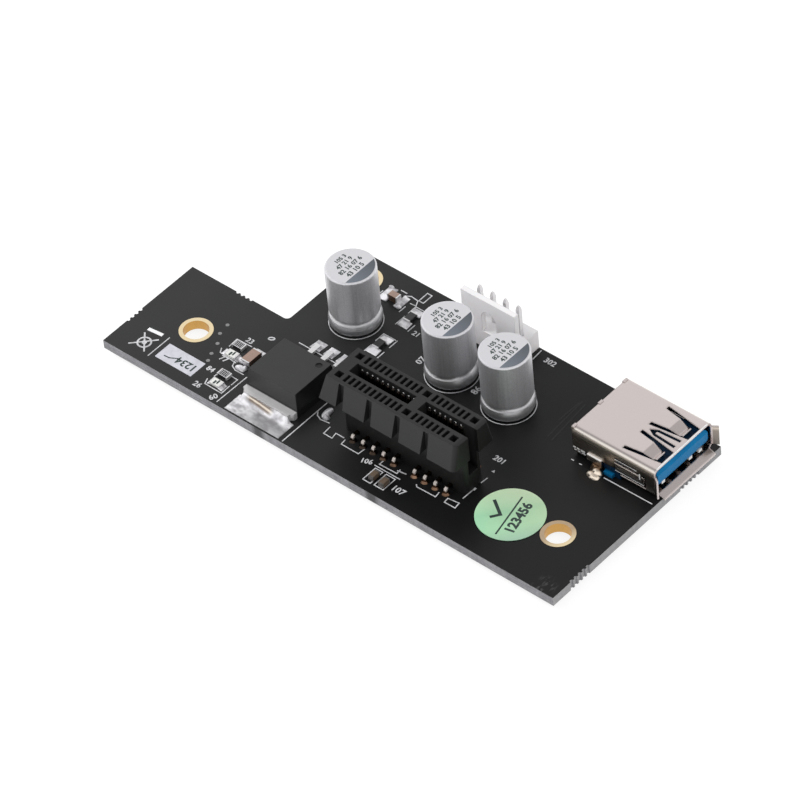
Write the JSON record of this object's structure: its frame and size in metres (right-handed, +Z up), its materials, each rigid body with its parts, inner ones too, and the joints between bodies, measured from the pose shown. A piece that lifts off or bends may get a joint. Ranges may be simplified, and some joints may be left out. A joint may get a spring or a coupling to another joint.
{
  "type": "pcie riser card",
  "caption": "Small black riser board that takes a short expansion card in an upright edge slot and is fed by a cable through a USB socket, with a power header and can capacitors.",
  "frame": {"origin": "bottom centre of the part's box, level with the ends of the leads under the board", "axes": "+X along the board towards the USB socket's mouth, +Y across the board from the card slot's side towards the power header, +Z up out of the board's component side"},
  "size_m": [0.0886, 0.038, 0.0142],
  "materials": {
    "board_mask": "black matte solder mask over glass-fibre laminate",
    "gold_plating": "gold-plated copper",
    "slot_plastic": "black moulded plastic",
    "contact_gold": "gold-flashed spring metal",
    "solder": "bright solder",
    "can_aluminium": "satin drawn aluminium",
    "bung_rubber": "black sealing rubber",
    "tin_plate": "tin-plated metal",
    "usb_steel": "satin plated sheet steel",
    "usb_plastic": "blue moulded plastic",
    "header_plastic": "white moulded plastic",
    "regulator_plastic": "black moulding compound",
    "chip_ceramic": "fired brown ceramic",
    "resistor_body": "dark glassy overcoat",
    "lamp_body": "milky clear resin",
    "label_paper": "green film label"
  },
  "bodies": {
    "root": {"circuit_board": "board_mask", "left_hole_plating": "gold_plating", "right_hole_plating": "gold_plating", "rear_hole_plating": "gold_plating", "slot_housing": "slot_plastic", "slot_contacts_front": "contact_gold", "slot_contacts_rear": "contact_gold", "slot_solder": "solder", "capacitor_solder": "solder", "usb_shell": "usb_steel", "usb_insulator": "usb_plastic", "usb_contacts": "contact_gold", "usb_solder": "solder", "power_header_housing": "header_plastic", "power_header_pins": "tin_plate", "power_header_solder": "solder", "regulator_body": "regulator_plastic", "regulator_tab": "tin_plate", "regulator_leads": "tin_plate", "label_disc": "label_paper", "left_capacitor_can": "can_aluminium", "left_capacitor_bung": "bung_rubber", "left_capacitor_leads": "tin_plate", "middle_capacitor_can": "can_aluminium", "middle_capacitor_bung": "bung_rubber", "middle_capacitor_leads": "tin_plate", "right_capacitor_can": "can_aluminium", "right_capacitor_bung": "bung_rubber", "right_capacitor_leads": "tin_plate", "input_chip_capacitor": "chip_ceramic", "input_chip_capacitor_ends": "tin_plate", "rear_chip_capacitor": "chip_ceramic", "rear_chip_capacitor_ends": "tin_plate", "middle_resistor": "resistor_body", "middle_resistor_ends": "tin_plate", "rear_resistor": "resistor_body", "rear_resistor_ends": "tin_plate", "left_rear_resistor": "resistor_body", "left_rear_resistor_ends": "tin_plate", "left_rear_lamp": "lamp_body", "left_rear_lamp_ends": "tin_plate", "left_front_resistor": "resistor_body", "left_front_resistor_ends": "tin_plate", "left_front_lamp": "lamp_body", "left_front_lamp_ends": "tin_plate", "front_chip_capacitor_left": "chip_ceramic", "front_chip_capacitor_left_ends": "tin_plate", "front_chip_capacitor_right": "chip_ceramic", "front_chip_capacitor_right_ends": "tin_plate"}
  },
  "joints": []
}
